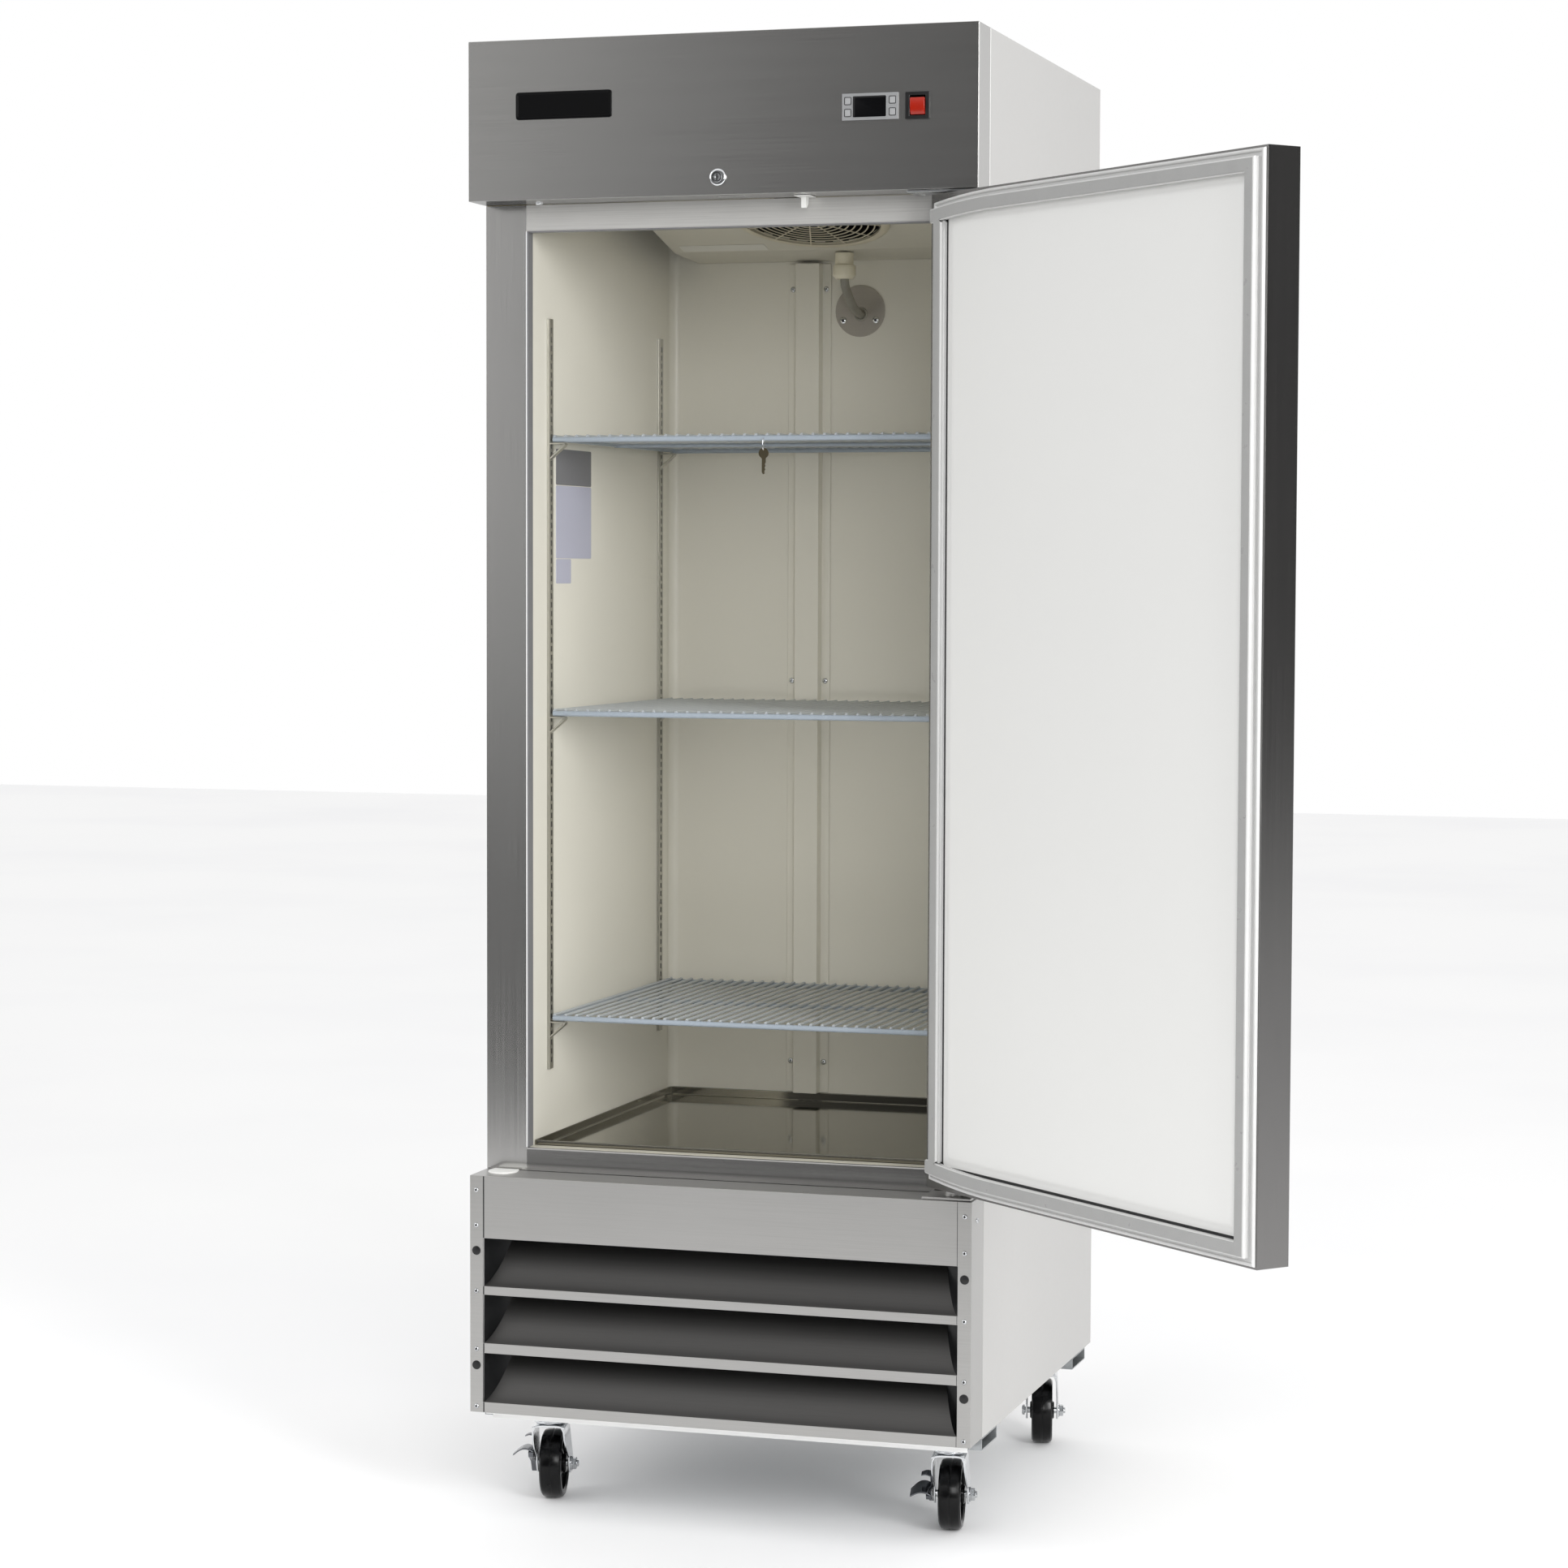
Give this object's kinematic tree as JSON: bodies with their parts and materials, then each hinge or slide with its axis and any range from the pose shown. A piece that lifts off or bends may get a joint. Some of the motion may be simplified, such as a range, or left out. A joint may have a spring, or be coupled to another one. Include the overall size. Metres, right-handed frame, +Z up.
{
  "type": "reach-in refrigerator",
  "caption": "Tall single-door reach-in refrigerator on swivel casters, door open, with wire shelves, header controls and a louvred base grille.",
  "frame": {"origin": "on the floor, under the middle of the object's bounding box with the door open as it stands at rest", "axes": "+Z up from the wheels' floor contact, +Y from the door side to the back of the cabinet, +X to the right seen from the front"},
  "size_m": [1.2416, 1.2112, 2.09],
  "materials": {
    "stainless": "satin",
    "side_aluminium": "satin",
    "galvanised": "satin",
    "liner_white": "satin",
    "door_liner_white": "satin",
    "white_metal": "gloss",
    "polished_pan": "polished",
    "foam": "matte",
    "coated_wire": "satin",
    "chrome": "polished",
    "black_plastic": "satin",
    "grey_plastic": "satin",
    "red_plastic": "gloss",
    "white_plastic": "satin",
    "gasket_grey": "matte",
    "cream_plastic": "satin",
    "hose_grey": "matte",
    "wheel_black": "satin",
    "fin_aluminium": "satin",
    "unit_black": "satin"
  },
  "bodies": {
    "cabinet": {"side_panel_right": "side_aluminium", "side_panel_left": "side_aluminium", "back_panel": "galvanised", "roof_panel": "galvanised", "insulation": "foam", "front_frame": "stainless", "liner_right": "liner_white", "liner_left": "liner_white", "liner_back": "liner_white", "liner_ceiling": "liner_white", "floor_pan": "polished_pan", "back_channel": "white_metal", "pilaster_right_front": "chrome", "pilaster_left_front": "chrome", "pilaster_right_rear": "chrome", "pilaster_left_rear": "chrome", "evaporator_cover": "white_metal", "fan_guard": "cream_plastic", "evaporator_coil": "fin_aluminium", "drain_socket": "cream_plastic", "drain_hose": "hose_grey", "hose_cover_plate": "stainless", "header_panel": "stainless", "controller_housing": "grey_plastic", "switch_bezel": "black_plastic", "lock_barrel": "chrome", "door_switch_housing": "white_plastic", "hinge_top": "galvanised", "hinge_bottom": "galvanised", "base_grille": "stainless", "chassis": "galvanised", "compressor": "unit_black", "condenser_coil": "fin_aluminium"},
    "door": {"door_shell": "stainless", "door_core": "foam", "door_liner": "door_liner_white", "door_gasket": "gasket_grey", "door_handle": "black_plastic"},
    "key_upper_left": {"key_upper_left": "grey_plastic"},
    "key_lower_left": {"key_lower_left": "grey_plastic"},
    "key_up": {"key_up": "grey_plastic"},
    "key_down": {"key_down": "grey_plastic"},
    "power_rocker": {"switch_rocker": "red_plastic"},
    "lock": {"lock_plug": "chrome"},
    "door_switch": {"door_switch_plunger": "white_plastic"},
    "evaporator_fan": {"evaporator_fan": "black_plastic"},
    "condenser_fan": {"condenser_fan": "black_plastic"},
    "shelf_lower": {"shelf_lower": "coated_wire"},
    "shelf_middle": {"shelf_middle": "coated_wire"},
    "shelf_upper": {"shelf_upper": "coated_wire"},
    "fork_front_left": {"caster_fork_front_left": "chrome"},
    "wheel_front_left": {"caster_wheel_front_left": "wheel_black"},
    "brake_front_left": {"brake_lever_front_left": "chrome"},
    "fork_front_right": {"caster_fork_front_right": "chrome"},
    "wheel_front_right": {"caster_wheel_front_right": "wheel_black"},
    "brake_front_right": {"brake_lever_front_right": "chrome"},
    "fork_rear_right": {"caster_fork_rear_right": "chrome"},
    "wheel_rear_right": {"caster_wheel_rear_right": "wheel_black"},
    "fork_rear_left": {"caster_fork_rear_left": "chrome"},
    "wheel_rear_left": {"caster_wheel_rear_left": "wheel_black"}
  },
  "joints": [
    {"name": "door_swing", "type": "hinge", "parent": "cabinet", "child": "door", "pos_m": [0.0825, -0.1225, 1.2], "axis": [0, 0, 1], "range_deg": [-138.8, 11]},
    {"name": "key_upper_left_press", "type": "slide", "parent": "cabinet", "child": "key_upper_left", "axis": [0, 1, 0], "range_m": [0, 0.0008], "stiffness_N_per_m": 900, "springref_m": -0.0004},
    {"name": "key_lower_left_press", "type": "slide", "parent": "cabinet", "child": "key_lower_left", "axis": [0, 1, 0], "range_m": [0, 0.0008], "stiffness_N_per_m": 900, "springref_m": -0.0004},
    {"name": "key_up_press", "type": "slide", "parent": "cabinet", "child": "key_up", "axis": [0, 1, 0], "range_m": [0, 0.0008], "stiffness_N_per_m": 900, "springref_m": -0.0004},
    {"name": "key_down_press", "type": "slide", "parent": "cabinet", "child": "key_down", "axis": [0, 1, 0], "range_m": [0, 0.0008], "stiffness_N_per_m": 900, "springref_m": -0.0004},
    {"name": "rocker_tilt", "type": "hinge", "parent": "cabinet", "child": "power_rocker", "pos_m": [0.032, -0.1425, 1.9805], "axis": [1, 0, 0], "range_deg": [-14, 0]},
    {"name": "lock_turn", "type": "hinge", "parent": "cabinet", "child": "lock", "pos_m": [-0.252, -0.1385, 1.892], "axis": [0, 1, 0], "range_deg": [0, 90]},
    {"name": "door_switch_press", "type": "slide", "parent": "cabinet", "child": "door_switch", "axis": [0, 0, 1], "range_m": [-0.0014, 0.0159]},
    {"name": "evaporator_fan_spin", "type": "hinge", "parent": "cabinet", "child": "evaporator_fan", "pos_m": [-0.252, 0.29097, 1.89985], "axis": [0, 0.2487, 0.9686], "continuous": true},
    {"name": "condenser_fan_spin", "type": "hinge", "parent": "cabinet", "child": "condenser_fan", "pos_m": [-0.252, 0.0235, 0.312], "axis": [0, 1, 0], "continuous": true},
    {"name": "shelf_lower_lift", "type": "slide", "parent": "cabinet", "child": "shelf_lower", "axis": [0, 0, 1], "range_m": [0, 0.03]},
    {"name": "shelf_middle_lift", "type": "slide", "parent": "cabinet", "child": "shelf_middle", "axis": [0, 0, 1], "range_m": [0, 0.03]},
    {"name": "shelf_upper_lift", "type": "slide", "parent": "cabinet", "child": "shelf_upper", "axis": [0, 0, 1], "range_m": [0, 0.03]},
    {"name": "swivel_front_left", "type": "hinge", "parent": "cabinet", "child": "fork_front_left", "pos_m": [-0.5405, -0.0365, 0.116], "axis": [0, 0, 1], "continuous": true},
    {"name": "roll_front_left", "type": "hinge", "parent": "fork_front_left", "child": "wheel_front_left", "pos_m": [-0.54799, -0.00129, 0.05], "axis": [0.9781, 0.2079, 0], "continuous": true},
    {"name": "brake_front_left_press", "type": "hinge", "parent": "fork_front_left", "child": "brake_front_left", "pos_m": [-0.54799, -0.00129, 0.05], "axis": [0.9781, 0.2079, 0], "range_deg": [0, 24]},
    {"name": "swivel_front_right", "type": "hinge", "parent": "cabinet", "child": "fork_front_right", "pos_m": [0.058, -0.0365, 0.116], "axis": [0, 0, 1], "continuous": true},
    {"name": "roll_front_right", "type": "hinge", "parent": "fork_front_right", "child": "wheel_front_right", "pos_m": [0.05237, -0.00094, 0.05], "axis": [0.9877, 0.1564, 0], "continuous": true},
    {"name": "brake_front_right_press", "type": "hinge", "parent": "fork_front_right", "child": "brake_front_right", "pos_m": [0.05237, -0.00094, 0.05], "axis": [0.9877, 0.1564, 0], "range_deg": [-24, 0]},
    {"name": "swivel_rear_right", "type": "hinge", "parent": "cabinet", "child": "fork_rear_right", "pos_m": [0.058, 0.5235, 0.116], "axis": [0, 0, 1], "continuous": true},
    {"name": "roll_rear_right", "type": "hinge", "parent": "fork_rear_right", "child": "wheel_rear_right", "pos_m": [0.0499, 0.55858, 0.05], "axis": [0.9744, 0.225, 0], "continuous": true},
    {"name": "swivel_rear_left", "type": "hinge", "parent": "cabinet", "child": "fork_rear_left", "pos_m": [-0.5405, 0.5235, 0.116], "axis": [0, 0, 1], "continuous": true},
    {"name": "roll_rear_left", "type": "hinge", "parent": "fork_rear_left", "child": "wheel_rear_left", "pos_m": [-0.54737, 0.55884, 0.05], "axis": [0.9816, 0.1908, 0], "continuous": true}
  ],
  "couplings": [
    {"joint": "door_switch_press", "follows": "door_swing", "m_per_rad": -0.0065634}
  ]
}
